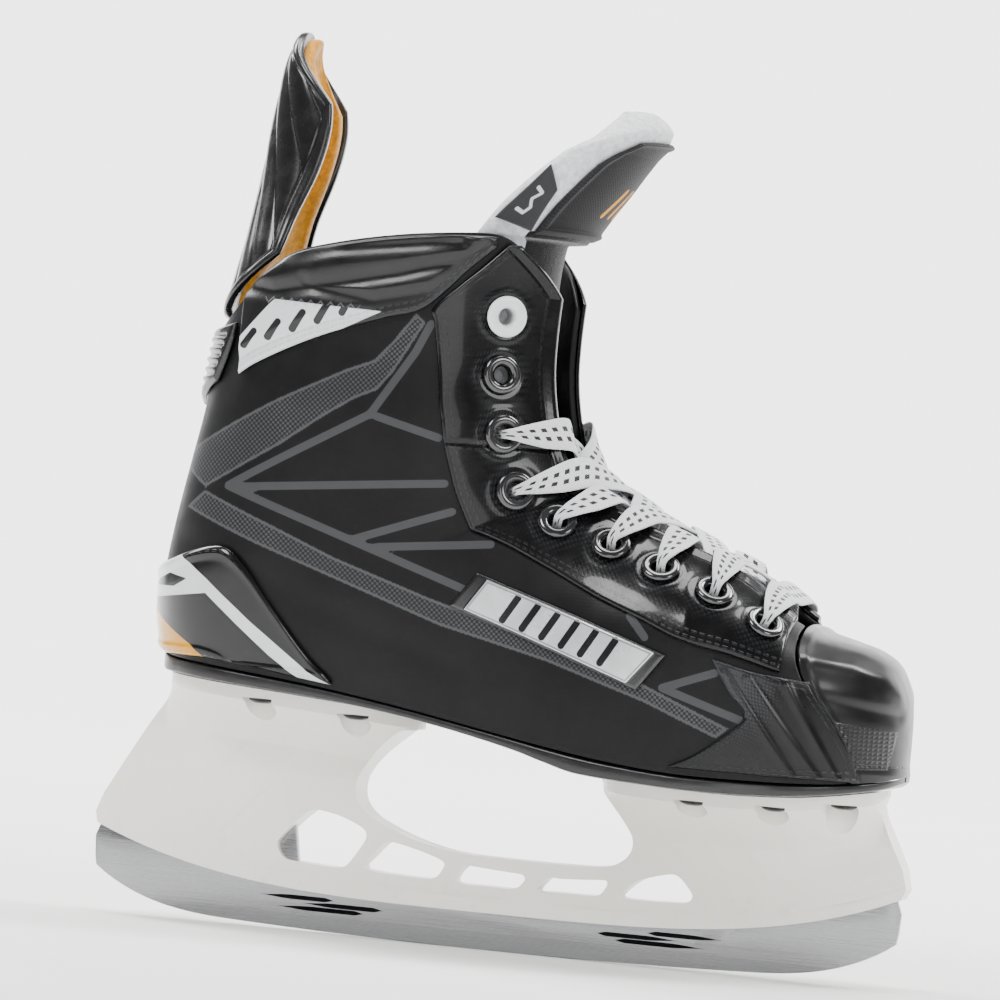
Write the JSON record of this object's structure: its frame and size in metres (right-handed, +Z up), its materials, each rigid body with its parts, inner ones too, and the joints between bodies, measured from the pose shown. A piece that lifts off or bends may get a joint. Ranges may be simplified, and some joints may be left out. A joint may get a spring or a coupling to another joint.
{
  "type": "ice hockey skate",
  "caption": "Ice hockey skate: laced boot with hinged tendon guard and tongue on a white blade holder with a steel runner.",
  "frame": {"origin": "the point where the runner's rocker touches the ice, at mid thickness and mid length of the blade", "axes": "+X to the toe, +Y to the inner (medial) side of this right-foot boot, +Z up from the ice"},
  "size_m": [0.2616, 0.096, 0.2838],
  "materials": {
    "runner_steel": "brushed, ground edge",
    "holder_white": "moulded, semi-gloss",
    "outsole_black": "moulded, satin",
    "board_grey": "fibre board, matt",
    "footbed_foam": "foam with cloth top",
    "rivet_steel": "blackened",
    "bolt_steel": "zinc plated",
    "cap_black": "moulded, satin sheen",
    "quarter_black": "satin laminate with printed grey bands",
    "strap_black": "synthetic leather, fine grid",
    "facing_gloss": "coated synthetic, glossy, fine mesh",
    "collar_black": "embossed synthetic, semi-gloss",
    "badge_silver": "bright silver-white, black frame",
    "liner_fabric": "brushed microfibre over foam",
    "eyelet_white": "glossy",
    "eyelet_black": "glossy enamel",
    "lace_white": "flat woven, black flecks",
    "counter_gloss": "glossy with white chevron",
    "guard_black": "moulded ridges, semi-gloss",
    "guard_gold_felt": "brushed felt",
    "tongue_felt": "thick white felt",
    "tongue_nylon": "woven nylon, piped edge",
    "tag_woven": "woven label"
  },
  "bodies": {
    "root": {"runner": "runner_steel", "blade_holder": "holder_white", "outsole": "outsole_black", "insole_board": "board_grey", "footbed": "footbed_foam", "lateral_rivet_1": "rivet_steel", "lateral_rivet_2": "rivet_steel", "lateral_rivet_3": "rivet_steel", "lateral_rivet_4": "rivet_steel", "lateral_rivet_5": "rivet_steel", "medial_rivet_1": "rivet_steel", "medial_rivet_2": "rivet_steel", "medial_rivet_3": "rivet_steel", "medial_rivet_4": "rivet_steel", "medial_rivet_5": "rivet_steel", "rear_blade_bolt": "bolt_steel", "rear_blade_nut": "bolt_steel", "front_blade_bolt": "bolt_steel", "front_blade_nut": "bolt_steel", "toe_cap": "cap_black", "quarter_lateral": "quarter_black", "vamp_strap_lateral": "strap_black", "facing_lateral": "facing_gloss", "collar_lateral": "collar_black", "badge_lateral": "badge_silver", "ankle_lining_lateral": "liner_fabric", "lateral_eyelet_1": "eyelet_white", "lateral_eyelet_2": "eyelet_black", "lateral_eyelet_3": "eyelet_black", "lateral_eyelet_4": "eyelet_black", "lateral_eyelet_5": "eyelet_black", "lateral_eyelet_6": "eyelet_black", "lateral_eyelet_7": "eyelet_black", "lateral_eyelet_8": "eyelet_black", "lateral_eyelet_9": "eyelet_black", "quarter_medial": "quarter_black", "vamp_strap_medial": "strap_black", "facing_medial": "facing_gloss", "collar_medial": "collar_black", "badge_medial": "badge_silver", "ankle_lining_medial": "liner_fabric", "medial_eyelet_1": "eyelet_white", "medial_eyelet_2": "eyelet_black", "medial_eyelet_3": "eyelet_black", "medial_eyelet_4": "eyelet_black", "medial_eyelet_5": "eyelet_black", "medial_eyelet_6": "eyelet_black", "medial_eyelet_7": "eyelet_black", "medial_eyelet_8": "eyelet_black", "medial_eyelet_9": "eyelet_black", "lace": "lace_white", "heel_counter": "counter_gloss", "tendon_guard_base": "guard_black", "tongue_lower": "tongue_felt"},
    "guard": {"tendon_guard": "guard_black", "tendon_guard_lining": "guard_gold_felt"},
    "tongue": {"tongue_upper": "tongue_felt", "tongue_face": "tongue_nylon", "tongue_tag": "tag_woven"}
  },
  "joints": [
    {"name": "tendon_guard_flex", "type": "hinge", "parent": "root", "child": "guard", "pos_m": [-0.103, 0, 0.189], "axis": [0, 1, 0], "range_deg": [-26, 4], "stiffness_Nm_per_rad": 1.5},
    {"name": "tongue_flex", "type": "hinge", "parent": "root", "child": "tongue", "pos_m": [0.0115, 0, 0.223], "axis": [0, 1, 0], "range_deg": [-2, 42], "stiffness_Nm_per_rad": 0.5}
  ]
}
